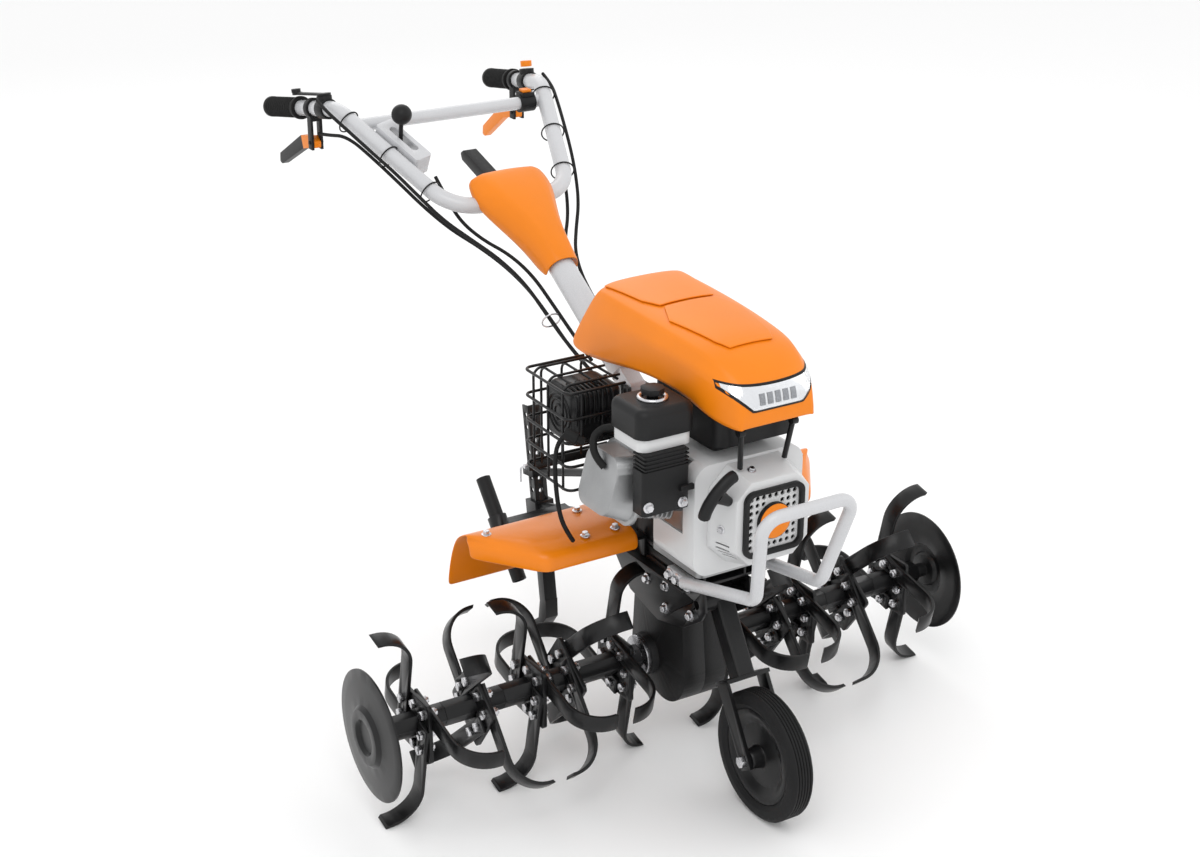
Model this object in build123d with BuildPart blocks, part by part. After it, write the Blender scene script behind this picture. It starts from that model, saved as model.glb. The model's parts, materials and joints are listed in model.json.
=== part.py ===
"""Petrol motor hoe (tiller) built as an assembly: chassis, engine, worm gear case,
tine rotor, front wheel, drag stake, bonnet and a swivelling, tilting handlebar.

Frame: millimetres, +Z up, ground at Z = 0, machine front towards -Y, X across.
"""

from math import atan2, cos, pi, radians, sin, tan
import os

from build123d import *

os.makedirs("parts", exist_ok=True)

# ---------------------------------------------------------------- driving sizes
GAP = 0.3  # daylight between neighbouring pieces

# Tine rotor
AXLE_Y, AXLE_Z = -295.0, 157.0
HEX_AF = 32.0  # across flats of the tine tubes
STAR_X = (97.0, 190.0, 250.0, 345.0, 440.0)  # star plates, each side
STAR_PHASE = (0.0, 54.0, 0.0, 54.0, 0.0)  # blade directions, degrees
STAR_REVERSED = (True, False, False, True, False)
SECTION_JOINTS = (58.0, 215.0, 300.0, 398.0, 496.0)
PLATE, PLATE_T = 96.0, 6.0
BLADE_W, BLADE_T, BLADE_BEND = 28.0, 5.0, 48.0
BLADE_REACH, INNER_REACH = 60.0, 42.0  # sideways, and beside the gear case
BLADE_BACK, BLADE_OFFSET, TIP_R = 26.0, 40.0, 154.0
BOLT_ALONG = (28.7, 57.4)
BOLT_R = 4.5
DISC_R, DISC_X = 100.0, 515.0

# Front wheel and its arm
WHEEL_Y, WHEEL_Z, WHEEL_R = -558.0, 100.0, 100.0
ARM_PIVOT_Y, ARM_PIVOT_Z = -434.0, 304.0
ARM_TUBE = 30.0
CROWN_AT = 118.0  # crown plate, measured down the arm

# Chassis and engine
CHEEK_IN, CHEEK_OUT = 38.5, 43.0
RAIL_IN, RAIL_OUT = 34.0, 60.0
BASE_LOW, BASE_TOP, RAIL_TOP = 336.0, 341.0, 372.0
WORM_Y = -340.0
CRANK_Z = 484.0
CYL_Y, CYL_TILT = -420.0, 15.0
HEAD_AT, COVER_AT = 168.0, 212.0  # joint face and outer face, along the bore
CASE_FRONT, CASE_BACK = -478.0, -350.0
FAN_FRONT, FAN_BACK = -505.0, -400.0
RECOIL_FRONT = -556.0
HOOD_HINGE_Y, HOOD_HINGE_Z = -536.0, 618.0

# Handlebar and column
PIVOT_Y, PIVOT_Z = -190.0, 556.0
COLUMN_RISE = 31.6  # degrees above the horizontal
COLUMN_R = 21.0
TUBE_R = 13.5
GRIP_END = (219.0, 663.0, 849.5)
ARM_TOP = (196.0, 437.0, 888.0)
ARM_LOW = (108.0, 192.0, 762.0)
CONTROL_X = 205.0
LEVER_PIVOT = (232.0, 775.0)  # pin of the swivel lever: y, z

# Drag stake: its straight part leans forward going down
STAKE_TOP_Y, STAKE_TOP_Z = 137.0, 418.0
STAKE_LEAN = 8.5
FOOT_Z = 62.0


# ---------------------------------------------------------------- small helpers
def save(builder, node):
    """Labels a finished piece and writes its STEP file."""
    builder.part.label = node
    export_step(builder.part, f"parts/{node}.step")


def box(x0, x1, y0, y1, z0, z1, edge=0.0):
    """A box between two corners; edge rounds its upright edges."""
    with BuildPart() as made:
        with BuildSketch(Plane.XY.offset(z0)):
            with Locations(((x0 + x1) / 2, (y0 + y1) / 2)):
                if edge:
                    RectangleRounded(x1 - x0, y1 - y0, edge)
                else:
                    Rectangle(x1 - x0, y1 - y0)
        extrude(amount=z1 - z0)
    return made.part


def rod(start, end, radius, bore=0.0):
    """A round bar, or a tube when bore is given, from start to end."""
    begin, finish = Vector(*start), Vector(*end)
    with BuildPart() as made:
        with BuildSketch(Plane(origin=begin, z_dir=finish - begin)):
            Circle(radius)
            if bore:
                Circle(bore, mode=Mode.SUBTRACT)
        extrude(amount=(finish - begin).length)
    return made.part


def bent_tube(points, radius, bend, bore=0.0):
    """A tube of straight runs joined by arcs of one bend radius."""
    with BuildPart() as made:
        with BuildLine() as path:
            FilletPolyline(*points, radius=bend)
        with BuildSketch(Plane(origin=path.line @ 0, z_dir=path.line % 0)):
            Circle(radius)
            if bore:
                Circle(bore, mode=Mode.SUBTRACT)
        sweep()
    return made.part


def side_plate(outline, x0, x1):
    """A plate cut to a (y, z) outline, between two stations across the machine."""
    with BuildPart() as made:
        with BuildSketch(Plane.YZ.offset(x0)):
            with BuildLine():
                Polyline(*outline, close=True)
            make_face()
        extrude(amount=x1 - x0)
    return made.part


def through_bolt(at, direction, grip, radius, head):
    """A bolt with its head at a face and its nut closing the stated grip."""
    seat = Plane(origin=Vector(*at), z_dir=Vector(*direction))
    with BuildPart() as made:
        with BuildSketch(seat):
            RegularPolygon(head, 6)
        extrude(amount=-radius * 1.3)
        with BuildSketch(seat):
            Circle(radius - 0.1)
        extrude(amount=grip + radius * 2.4)
        with BuildSketch(seat.offset(grip)):
            RegularPolygon(head, 6)
        extrude(amount=radius * 1.7)
    return made.part


def mirrored(part):
    """The same piece on the other side of the machine."""
    return mirror(part, about=Plane.YZ)


def both_sides(part):
    """A piece and its twin on the other side."""
    return [part, mirrored(part)]


# ---------------------------------------------------------------- chassis
with BuildPart() as chassis_rails:
    add(box(-76, 76, -445, -175, BASE_LOW, BASE_TOP))
    add(both_sides(box(RAIL_IN, RAIL_OUT, -445, -175, BASE_TOP, RAIL_TOP)))
    channel = box(RAIL_IN + 4, RAIL_OUT - 4, -446, -174, BASE_TOP, RAIL_TOP - 4)
    add(both_sides(channel), mode=Mode.SUBTRACT)
    add(rod((0, WORM_Y, BASE_LOW - 1), (0, WORM_Y, BASE_TOP + 1), 12), mode=Mode.SUBTRACT)
    for hole_y in (-430, -300, -200):
        add(rod((-80, hole_y, 357), (80, hole_y, 357), 6), mode=Mode.SUBTRACT)
save(chassis_rails, "chassis_rails")

with BuildPart() as chassis_cheeks:
    CHEEK = [(-250, 250), (-180, 318), (-180, 335.7), (-452, 335.7), (-458, 300), (-446, 282), (-400, 250), (-330, 232)]
    add(both_sides(side_plate(CHEEK, CHEEK_IN, CHEEK_OUT)))
    add(rod((-60, ARM_PIVOT_Y, ARM_PIVOT_Z), (60, ARM_PIVOT_Y, ARM_PIVOT_Z), 7.05), mode=Mode.SUBTRACT)
save(chassis_cheeks, "chassis_cheeks")

with BuildPart() as column_bracket:
    add(box(-28, 28, -262, -180, BASE_TOP + GAP, BASE_TOP + 10))
    POST = [(-262, 345), (-180, 345), (-186, 420), (-166, 520), (-214, 520), (-244, 420)]
    add(both_sides(side_plate(POST, 18, 24)))
    add(box(-24, 24, -216, -164, 512, 520))
    add(rod((0, PIVOT_Y, 505), (0, PIVOT_Y, 525), 10.05), mode=Mode.SUBTRACT)
save(column_bracket, "column_bracket")

BUMPER_X = RAIL_OUT + 10.5
BUMPER = [
    (BUMPER_X, -441, 352),
    (56, -600, 389),
    (79, -640, 534),
    (-79, -640, 534),
    (-56, -600, 389),
    (-BUMPER_X, -441, 352),
]
with BuildPart() as bumper:
    add(bent_tube(BUMPER, 9.5, 26, 7.5))
    # Flattened feet that bolt against the rails.
    add(both_sides(box(RAIL_OUT + GAP, BUMPER_X + 2, -452, -400, 342, 362)))
save(bumper, "bumper")


# ---------------------------------------------------------------- gear case
def gear_solid(grow, x0, x1):
    """The gear case's side outline, grown all round, between two stations."""
    with BuildPart() as made:
        with BuildSketch(Plane.YZ.offset(x0)):
            for y, z, r in ((AXLE_Y, AXLE_Z, 46), (WORM_Y, 158, 60), (-292, 300, 32), (-352, 300, 32)):
                with Locations((y, z)):
                    Circle(r + grow)
            make_hull()
        extrude(amount=x1 - x0)
    return made.part


with BuildPart() as gear_case:
    # Two cast halves that meet on the machine's centre plane.
    half = gear_solid(0, 0.1, 38) - gear_solid(-6, 0, 32) + rod((38, AXLE_Y, AXLE_Z), (50, AXLE_Y, AXLE_Z), 34)
    add(both_sides(half))
    add(rod((-60, AXLE_Y, AXLE_Z), (60, AXLE_Y, AXLE_Z), 15.05), mode=Mode.SUBTRACT)
    add(rod((0, WORM_Y, 290), (0, WORM_Y, 340), 9), mode=Mode.SUBTRACT)
save(gear_case, "gear_case")

with BuildPart() as clutch_housing:
    # Bolts to the back of the crankcase and stands over the gear case.
    add(box(-56, 56, CASE_BACK + GAP, -272, RAIL_TOP + GAP, 540))
    fillet(clutch_housing.edges().filter_by(Axis.Z).group_by(Axis.Y)[-1], radius=20)
    add(box(-33, 33, CASE_BACK + GAP, -272, BASE_TOP + GAP, RAIL_TOP + 1))
    add(box(-48, 48, CASE_BACK - 1, -280, RAIL_TOP + 8, 532), mode=Mode.SUBTRACT)
    add(box(-26, 26, CASE_BACK - 1, -280, BASE_TOP + 8, RAIL_TOP + 10), mode=Mode.SUBTRACT)
    add(box(-12, 12, CASE_BACK - 1, WORM_Y + 12, BASE_TOP, BASE_TOP + 12), mode=Mode.SUBTRACT)
save(clutch_housing, "clutch_housing")

with BuildPart() as worm_shaft:
    # Upright shaft from the clutch down to the worm beside the axle.
    add(rod((0, WORM_Y, 108), (0, WORM_Y, 442), 8))
    add(rod((0, WORM_Y, 122), (0, WORM_Y, 192), 12))
save(worm_shaft, "worm_shaft")

# ---------------------------------------------------------------- tine rotor
with BuildPart() as tine_axle:
    add(rod((-150, AXLE_Y, AXLE_Z), (150, AXLE_Y, AXLE_Z), 15))
    add(rod((-16, AXLE_Y, AXLE_Z), (16, AXLE_Y, AXLE_Z), 32.5))
    add(both_sides(rod((50.4, AXLE_Y, AXLE_Z), (57.5, AXLE_Y, AXLE_Z), 32)))
save(tine_axle, "tine_axle")


def along_axle(x, turn=0.0):
    """A plane across the axle at a station, turned about the axle."""
    return Plane(origin=(x, AXLE_Y, AXLE_Z), x_dir=(0, -cos(radians(turn)), sin(radians(turn))), z_dir=(1, 0, 0))


def hex_section(x0, x1, bore):
    """One length of hexagonal tine tube along the axle."""
    with BuildPart() as made:
        with BuildSketch(along_axle(x0)):
            RegularPolygon(HEX_AF / 2, 6, major_radius=False)
            Circle(bore, mode=Mode.SUBTRACT)
        extrude(amount=x1 - x0)
    return made.part


# Lean of a shank against the line from the axle to its tip, and the length that
# brings the lowest corner of a downward blade to the ground.
LEAN = atan2(BLADE_OFFSET, TIP_R + BLADE_BACK)
BLADE_LENGTH = (AXLE_Z + BLADE_BACK - BLADE_W / 2 * sin(LEAN)) / cos(LEAN)


def blade_plane(x, turn, face):
    """The plane of a blade's flat at a star plate; local x runs out along the shank.

    turn is the direction of the tip from the front, upwards; face is +1 or -1 for
    the side of the plate that the shank lies on."""
    out = Vector(0, -cos(radians(turn)), sin(radians(turn)))
    across = Vector(0, sin(radians(turn)), cos(radians(turn)))
    start = across * BLADE_OFFSET - out * BLADE_BACK
    along = out * TIP_R - start
    origin = start + Vector(x + face * PLATE_T / 2, AXLE_Y, AXLE_Z)
    return Plane(origin=origin, x_dir=along, z_dir=Vector(face, 0, 0))


def blade(x, turn, face, reach):
    """One flat-bar blade, bent sideways at its tip through a large radius."""
    flat = blade_plane(x, turn, face)
    side = Plane(origin=flat.origin, x_dir=flat.x_dir, z_dir=flat.x_dir.cross(flat.z_dir))
    bend = min(BLADE_BEND, reach - BLADE_T - 4)
    outer = bend + BLADE_T
    centre_x = BLADE_LENGTH - outer
    half = cos(radians(45))
    with BuildPart() as made:
        with BuildSketch(side.offset(-BLADE_W / 2)):
            with BuildLine():
                Line((14, 0), (centre_x, 0))
                ThreePointArc(
                    (centre_x, 0), (centre_x + outer * half, outer - outer * half), (BLADE_LENGTH, outer)
                )
                Line((BLADE_LENGTH, outer), (BLADE_LENGTH, reach))
                Line((BLADE_LENGTH, reach), (BLADE_LENGTH - BLADE_T, reach - 3))
                Line((BLADE_LENGTH - BLADE_T, reach - 3), (BLADE_LENGTH - BLADE_T, outer))
                ThreePointArc(
                    (BLADE_LENGTH - BLADE_T, outer),
                    (centre_x + bend * half, outer - bend * half),
                    (centre_x, BLADE_T),
                )
                Line((centre_x, BLADE_T), (14, BLADE_T))
                Line((14, BLADE_T), (14, 0))
            make_face()
        extrude(amount=BLADE_W)
        with BuildSketch(flat.offset(-1)):
            with Locations(*[(hole, 0) for hole in BOLT_ALONG]):
                Circle(BOLT_R)
        extrude(amount=BLADE_T + 2, mode=Mode.SUBTRACT)
    return made.part


def star_stations():
    """Every star of both sides: its place, phase, outward direction and turning."""
    for side in (-1, 1):
        for index, (x, phase, reverse) in enumerate(zip(STAR_X, STAR_PHASE, STAR_REVERSED)):
            yield side * x, phase, side * (-1 if reverse else 1), INNER_REACH if index == 0 else BLADE_REACH


def blade_places():
    """Every blade: upright pairs bend one way and level pairs the other."""
    for x, phase, outward, inner_reach in star_stations():
        for step in range(4):
            face = outward if step % 2 else -outward
            inboard = face * x < 0
            yield x, phase + 90 * step, face, inner_reach if inboard else BLADE_REACH


HOLES = []
BLADES = []
BOLTS = []
for x, turn, face, reach in blade_places():
    flat = blade_plane(x, turn, face)
    BLADES.append(blade(x, turn, face, reach))
    for hole in BOLT_ALONG:
        centre = flat.from_local_coords(Vector(hole, 0, 0))
        HOLES.append(rod(centre - Vector(10, 0, 0), centre + Vector(10, 0, 0), BOLT_R))
        side = 1 if x > 0 else -1
        grip = PLATE_T + BLADE_T
        head_x = x + side * (PLATE_T / 2 + (BLADE_T if face == side else 0))
        BOLTS.append(through_bolt((head_x, centre.Y, centre.Z), (-side, 0, 0), grip, BOLT_R, 7.5))

with BuildPart() as tine_tubes:
    # Hexagonal tubes in four lengths a side, with the star plates welded on.
    for side in (-1, 1):
        for x0, x1 in zip(SECTION_JOINTS[:-1], SECTION_JOINTS[1:]):
            low, high = sorted((side * (x0 + GAP), side * (x1 - GAP)))
            add(hex_section(low, high, 15.05 if x0 < 150 else 12))
    for x, phase, outward, _ in star_stations():
        with BuildSketch(along_axle(x - PLATE_T / 2, phase)):
            RectangleRounded(PLATE, PLATE, 7)
            Circle(HEX_AF / 2 - 0.5, mode=Mode.SUBTRACT)
        extrude(amount=PLATE_T)
    add(HOLES, mode=Mode.SUBTRACT)
save(tine_tubes, "tine_tubes")

with BuildPart() as tine_blades:
    add(BLADES)
save(tine_blades, "tine_blades")

with BuildPart() as tine_bolts:
    add(BOLTS)
save(tine_bolts, "tine_bolts")

with BuildPart() as plant_discs:
    # Dished guard discs, each on a spigot in the end of the outermost tine tube.
    with BuildSketch(Plane.XY):
        with BuildLine():
            Polyline(
                (470, 0),
                (470, 11.9),
                (516, 11.9),
                (516, 26),
                (522, 30),
                (522, 40),
                (516, 46),
                (DISC_X - 4, DISC_R),
                (DISC_X - 1, DISC_R),
                (519, 48),
                (525, 42),
                (525, 28),
                (519, 24),
                (519, 0),
                close=True,
            )
        make_face()
    revolve(axis=Axis.X)
DISC = plant_discs.part.moved(Location((0, AXLE_Y, AXLE_Z)))
with BuildPart() as plant_discs:
    add(both_sides(DISC))
save(plant_discs, "plant_discs")

# ---------------------------------------------------------------- front wheel
ARM_DIR = Vector(0, WHEEL_Y - ARM_PIVOT_Y, WHEEL_Z - ARM_PIVOT_Z).normalized()
ARM_LENGTH = Vector(0, WHEEL_Y - ARM_PIVOT_Y, WHEEL_Z - ARM_PIVOT_Z).length


def down_arm(distance):
    """A plane square to the wheel arm, at a distance from its pivot."""
    start = Vector(0, ARM_PIVOT_Y, ARM_PIVOT_Z)
    return Plane(origin=start + ARM_DIR * distance, x_dir=(1, 0, 0), z_dir=ARM_DIR)


with BuildPart() as wheel_arm:
    add(rod((-37.5, ARM_PIVOT_Y, ARM_PIVOT_Z), (37.5, ARM_PIVOT_Y, ARM_PIVOT_Z), 14))
    with BuildSketch(down_arm(4)):
        RectangleRounded(ARM_TUBE, ARM_TUBE, 4)
    extrude(amount=CROWN_AT - 4)
    with BuildSketch(down_arm(CROWN_AT)):
        Rectangle(76, 36)
    extrude(amount=6)
    with BuildSketch(down_arm(CROWN_AT)):
        with Locations((-35, 0), (35, 0)):
            Rectangle(6, 26)
    extrude(amount=ARM_LENGTH - CROWN_AT + 14)
    add(rod((-45, ARM_PIVOT_Y, ARM_PIVOT_Z), (45, ARM_PIVOT_Y, ARM_PIVOT_Z), 7.05), mode=Mode.SUBTRACT)
    add(rod((-45, WHEEL_Y, WHEEL_Z), (45, WHEEL_Y, WHEEL_Z), 6), mode=Mode.SUBTRACT)
save(wheel_arm, "wheel_arm")

with BuildPart() as wheel_axle:
    add(through_bolt((-38, WHEEL_Y, WHEEL_Z), (1, 0, 0), 76, 6, 9))
save(wheel_axle, "wheel_axle")

with BuildPart() as tyre_blank:
    with BuildSketch(Plane.XY):
        with BuildLine():
            Polyline((-15, 74), (-20, 82), (-19, 94), (-14, WHEEL_R), (14, WHEEL_R), (19, 94), (20, 82), (15, 74), close=True)
        make_face()
        with Locations(*[(x, WHEEL_R) for x in (-10, -5, 0, 5, 10)]):
            Rectangle(1.6, 4, mode=Mode.SUBTRACT)
    revolve(axis=Axis.X)
with BuildPart() as tyre:
    add(tyre_blank.part.moved(Location((0, WHEEL_Y, WHEEL_Z))))
save(tyre, "tyre")

with BuildPart() as rim_blank:
    with BuildSketch(Plane.XY):
        with BuildLine():
            Polyline(
                (-30, 5.95), (-30, 14), (-10, 18), (-6, 50), (-15, 66), (-15, 73.7),
                (15, 73.7), (15, 66), (6, 50), (10, 18), (30, 14), (30, 5.95), close=True,
            )
        make_face()
    revolve(axis=Axis.X)
with BuildPart() as wheel_rim:
    add(rim_blank.part.moved(Location((0, WHEEL_Y, WHEEL_Z))))
save(wheel_rim, "wheel_rim")

# ---------------------------------------------------------------- engine
CYL_AXIS = Vector(-cos(radians(CYL_TILT)), 0, sin(radians(CYL_TILT)))


def up_bore(distance):
    """A plane square to the cylinder bore, at a distance from the crankshaft."""
    return Plane(origin=Vector(0, CYL_Y, CRANK_Z) + CYL_AXIS * distance, x_dir=(0, 1, 0), z_dir=CYL_AXIS)


def bore_rod(start, end, radius):
    """A round solid along the cylinder bore."""
    with BuildPart() as made:
        with BuildSketch(up_bore(start)):
            Circle(radius)
        extrude(amount=end - start)
    return made.part


with BuildPart() as crankcase:
    add(box(-70, 70, CASE_FRONT, CASE_BACK, RAIL_TOP + GAP, 545, edge=10))
    add(bore_rod(50, 90, 40))
    add(rod((0, CASE_FRONT + 6, CRANK_Z), (0, CASE_BACK - 6, CRANK_Z), 54), mode=Mode.SUBTRACT)
    add(rod((0, CASE_FRONT - 1, CRANK_Z), (0, CASE_BACK + 1, CRANK_Z), 12.05), mode=Mode.SUBTRACT)
    add(bore_rod(20, 95, 29), mode=Mode.SUBTRACT)
save(crankcase, "crankcase")

with BuildPart() as cylinder:
    # Finned barrel and head, inclined towards the left side.
    add(bore_rod(90 + GAP, HEAD_AT, 38))
    for fin in range(8):
        with BuildSketch(up_bore(101 + fin * 8)):
            RectangleRounded(84, 84, 10)
        extrude(amount=3)
    add(bore_rod(80, 158, 29), mode=Mode.SUBTRACT)
save(cylinder, "cylinder")

with BuildPart() as rocker_cover:
    with BuildSketch(up_bore(HEAD_AT + GAP)):
        RectangleRounded(96, 100, 20)
    with BuildSketch(up_bore(COVER_AT)):
        RectangleRounded(82, 86, 20)
    loft()
    with BuildSketch(up_bore(HEAD_AT + GAP)):
        RectangleRounded(104, 108, 22)
    extrude(amount=6)
save(rocker_cover, "rocker_cover")

with BuildPart() as piston:
    # Piston with its rod, which stops short of the crank pin's circle.
    add(bore_rod(88, 118, 28.95))
    add(bore_rod(54, 88, 7))
save(piston, "piston")

with BuildPart() as crankshaft:
    add(rod((0, -512, CRANK_Z), (0, -305, CRANK_Z), 12))
    add(rod((0, -448, CRANK_Z), (0, -430, CRANK_Z), 44))
    add(rod((0, -410, CRANK_Z), (0, -392, CRANK_Z), 44))
    add(rod((0, -347, CRANK_Z), (0, -312, CRANK_Z), 28))
save(crankshaft, "crankshaft")

with BuildPart() as flywheel:
    add(rod((0, -492, CRANK_Z), (0, -483, CRANK_Z), 62))
    add(rod((0, -516, CRANK_Z), (0, -492, CRANK_Z), 24))
    for blade_turn in range(0, 360, 30):
        vane = box(34, 60, -1.2, 1.2, 0, 8)
        place = Location((0, -492, CRANK_Z), (90, 0, 0)) * Location((0, 0, 0), (0, 0, blade_turn))
        add(vane.moved(place))
    add(rod((0, -520, CRANK_Z), (0, -480, CRANK_Z), 12), mode=Mode.SUBTRACT)
save(flywheel, "flywheel")

with BuildPart() as fan_housing:
    # Blower shroud in front of the crankcase, open at the back and underneath.
    with BuildSketch(Plane.XZ.offset(-FAN_BACK)):
        with Locations((-5, 478)):
            RectangleRounded(186, 172, 26)
    extrude(amount=FAN_BACK - FAN_FRONT)
    with BuildSketch(Plane.XZ.offset(-FAN_BACK - 1)):
        with Locations((-5, 478)):
            RectangleRounded(179, 165, 23)
    extrude(amount=FAN_BACK - FAN_FRONT - 2.5, mode=Mode.SUBTRACT)
    add(rod((0, FAN_FRONT - 1, CRANK_Z), (0, FAN_FRONT + 6, CRANK_Z), 56), mode=Mode.SUBTRACT)
    add(box(-100, -80, CASE_FRONT + 2, FAN_BACK + 1, 452, 566), mode=Mode.SUBTRACT)
    add(box(-72, 72, CASE_FRONT - 2, FAN_BACK + 1, 380, 400), mode=Mode.SUBTRACT)
save(fan_housing, "fan_housing")


def octagon(half_w, half_h, cut):
    """Corner points of a rectangle with its corners cut."""
    return [
        (half_w, half_h - cut), (half_w - cut, half_h), (cut - half_w, half_h), (-half_w, half_h - cut),
        (-half_w, cut - half_h), (cut - half_w, -half_h), (half_w - cut, -half_h), (half_w, cut - half_h),
    ]


def octagon_loft(y0, y1, back, front):
    """A tapering eight-sided solid about the crankshaft's line."""
    with BuildPart() as made:
        for y, size in ((y0, back), (y1, front)):
            with BuildSketch(Plane(origin=(0, y, CRANK_Z), x_dir=(1, 0, 0), z_dir=(0, -1, 0))):
                with BuildLine():
                    Polyline(*octagon(*size), close=True)
                make_face()
        loft()
    return made.part


with BuildPart() as recoil_cover:
    add(octagon_loft(FAN_FRONT - GAP, RECOIL_FRONT, (76, 76, 32), (62, 63, 24)))
    add(octagon_loft(FAN_FRONT, RECOIL_FRONT + 3, (73, 73, 31), (59, 60, 23)), mode=Mode.SUBTRACT)
    for column in range(8):
        for row in range(8):
            hole_x, hole_z = (column - 3.5) * 10.6, (row - 3.5) * 10.6
            if hole_x**2 + hole_z**2 > 30**2:
                with BuildSketch(Plane(origin=(hole_x, RECOIL_FRONT - 1, CRANK_Z + hole_z), z_dir=(0, 1, 0))):
                    RegularPolygon(3.9, 6)
                extrude(amount=6, mode=Mode.SUBTRACT)
    for step in range(4):
        slot_z = CRANK_Z - 34 - step * 7
        add(box(-90, -50, -545, -520, slot_z, slot_z + 2.6), mode=Mode.SUBTRACT)
        add(box(-90 + step * 8, -87.4 + step * 8, -545, -520, CRANK_Z + 40, CRANK_Z + 90), mode=Mode.SUBTRACT)
save(recoil_cover, "recoil_cover")

with BuildPart() as grille_frame:
    with BuildSketch(Plane(origin=(0, RECOIL_FRONT - GAP, CRANK_Z), x_dir=(1, 0, 0), z_dir=(0, -1, 0))):
        RectangleRounded(102, 102, 16)
        RectangleRounded(88, 88, 11, mode=Mode.SUBTRACT)
    extrude(amount=6)
    add(rod((0, RECOIL_FRONT - GAP, CRANK_Z), (0, RECOIL_FRONT - 7, CRANK_Z), 27))
save(grille_frame, "grille_frame")

HANDLE_AT = Vector(-92, -552, 540)
with BuildPart() as recoil_handle:
    # T handle held against the cover by its rope.
    bar = Vector(0.62, -0.1, 0.78)
    add(rod(HANDLE_AT - bar * 36, HANDLE_AT + bar * 36, 8.5))
    add(rod(HANDLE_AT, HANDLE_AT + Vector(22, 5, -16), 9))
save(recoil_handle, "recoil_handle")

with BuildPart() as fuel_tank:
    add(box(-68, 68, -518, -345, 590, 648, edge=20))
    add(box(-50, 50, -480, -380, 570, 590, edge=8))
    fillet(fuel_tank.edges().group_by(Axis.Z)[-1], radius=10)
    add(rod((0, -430, 640), (0, -430, 656), 20))
save(fuel_tank, "fuel_tank")

with BuildPart() as fuel_cap:
    add(rod((0, -430, 656 + GAP), (0, -430, 672), 26))
save(fuel_cap, "fuel_cap")

with BuildPart() as carburettor:
    add(box(-186, -110, -510, -478 - GAP, 512, 578, edge=6))
    add(box(-182, -114, -508, -480, 578, 602.5, edge=5))
save(carburettor, "carburettor")

with BuildPart() as choke_lever:
    add(box(-128, -106, -516, -510 - GAP, 540, 548))
save(choke_lever, "choke_lever")

with BuildPart() as filter_base:
    add(box(-184, -99, -500, -420, 603, 622, edge=14))
save(filter_base, "filter_base")

with BuildPart() as filter_cover:
    add(box(-188, -95, -504, -416, 622 + GAP, 664, edge=18))
    fillet(filter_cover.edges().group_by(Axis.Z)[-1], radius=12)
save(filter_cover, "filter_cover")

with BuildPart() as filter_knob:
    add(rod((-141, -460, 664 + GAP), (-141, -460, 672), 8))
    with BuildSketch(Plane.XY.offset(672)):
        with Locations((-141, -460)):
            RegularPolygon(17, 8)
    extrude(amount=8)
save(filter_knob, "filter_knob")

with BuildPart() as muffler:
    add(box(-190, -104, -330, -246, 548, 632, edge=16))
    fillet(muffler.edges().group_by(Axis.Z)[-1], radius=12)
    fillet(muffler.edges().group_by(Axis.Z)[0], radius=10)
    add(rod((-128, CYL_Y + 45, 581), (-128, -320, 581), 9))
save(muffler, "muffler")

GUARD_R = 2.2
GUARD_X, GUARD_FRONT, GUARD_BACK = -206.0, -340.0, -214.0
GUARD_Z = (490, 527, 563, 600, 640)
RIB_R = 2.0
with BuildPart() as muffler_guard:
    # Welded wire basket round the muffler on a flat bar.
    for wire_z in GUARD_Z:
        inner = -64 if wire_z < 620 else -104
        loop = [(-110, GUARD_FRONT, wire_z), (GUARD_X, GUARD_FRONT, wire_z)]
        loop += [(GUARD_X, GUARD_BACK, wire_z), (inner, GUARD_BACK, wire_z)]
        add(bent_tube(loop, GUARD_R, 12))
    # Ribs on the inside of the loops, and arches from the back over the top.
    inset = GUARD_R + RIB_R + GAP
    top = GUARD_Z[-1] + inset
    for wire_y in (-318, -276, -234):
        rib_x = GUARD_X + inset
        add(bent_tube([(rib_x, wire_y, 484), (rib_x, wire_y, top), (-106, wire_y, top)], RIB_R, 14))
    for wire_x in (-180, -145, -112):
        rib_y, arch_top = GUARD_BACK - inset, top - inset
        add(bent_tube([(wire_x, rib_y, 484), (wire_x, rib_y, arch_top), (wire_x, -322, arch_top)], RIB_R, 14))
        front_y = GUARD_FRONT + inset
        add(rod((wire_x, front_y, 563), (wire_x, front_y, GUARD_Z[-1] - 4), RIB_R))
    add(box(-200, -24 - GAP, GUARD_BACK - 2, GUARD_BACK + 4, 474, 487))
save(muffler_guard, "muffler_guard")

with BuildPart() as spark_plug:
    add(rod((-197, -372, 578), (-212, -358, 586), 6))
    add(rod((-205, -366, 582), (-218, -352, 589), 9))
save(spark_plug, "spark_plug")

with BuildPart() as hood_struts:
    for side in (-1, 1):
        add(rod((side * 38, -527, 559.5), (side * 44, HOOD_HINGE_Y, HOOD_HINGE_Z), 4))
        add(rod((side * 40, HOOD_HINGE_Y, HOOD_HINGE_Z), (side * 50, HOOD_HINGE_Y, HOOD_HINGE_Z), 6))
save(hood_struts, "hood_struts")

# ---------------------------------------------------------------- bonnet
LENS_LOW, LENS_HIGH = 652.0, 684.0
# Each station: y, lower half width, lower height, waist half width and height,
# shoulder half width and height.
HOOD = (
    (-140, 94, 632, 90, 690, 58, 728),
    (-230, 94, 637, 88, 702, 66, 744),
    (-335, 90, 656, 86, 706, 60, 746),
    (-440, 84, 660, 82, 704, 56, 741),
    (-500, 79, 642, 78, 698, 52, 732),
    (-535, 72, 634, 70, 680, 46, 708),
    (-558, 62, 632, 60, 652, 36, 668),
)


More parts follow.
